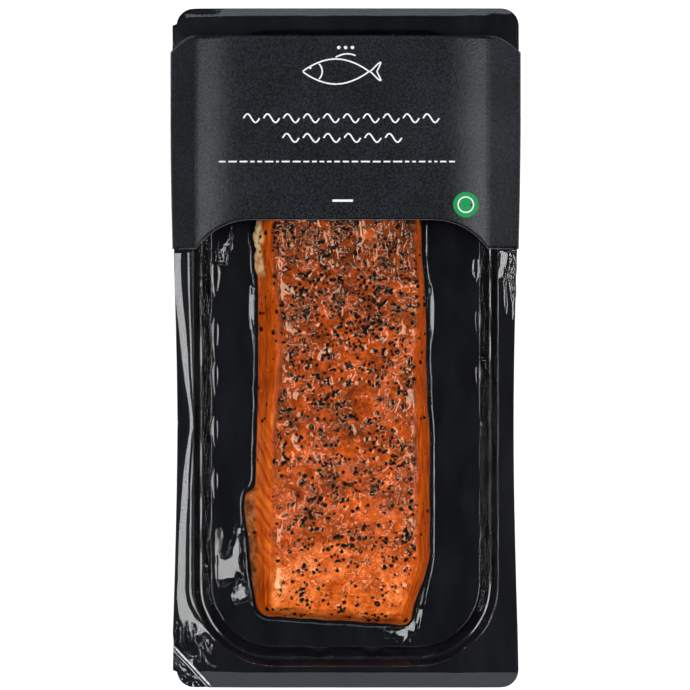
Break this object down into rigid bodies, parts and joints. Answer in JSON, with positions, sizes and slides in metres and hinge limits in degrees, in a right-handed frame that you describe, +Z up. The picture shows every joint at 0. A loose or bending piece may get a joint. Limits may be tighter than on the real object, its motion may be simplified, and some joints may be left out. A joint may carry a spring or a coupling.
{
  "type": "hot smoked salmon fillet in a skin pack",
  "caption": "Hot smoked salmon fillet with cracked pepper, under clear film in a black plastic tray with a dark card sleeve round one end.",
  "frame": {"origin": "middle of the footprint of the pack, on the surface that it lies on", "axes": "+Z up out of the side that shows the fish, +Y along the pack towards the end with the card sleeve, +X across it"},
  "size_m": [0.1238, 0.24, 0.0216],
  "materials": {
    "black_tray_plastic": "gloss",
    "smoked_salmon": "satin",
    "clear_film": "gloss",
    "slate_card": "matte"
  },
  "bodies": {
    "root": {"tray": "black_tray_plastic", "salmon_fillet": "smoked_salmon", "skin_film": "clear_film", "card_sleeve": "slate_card"}
  },
  "joints": []
}
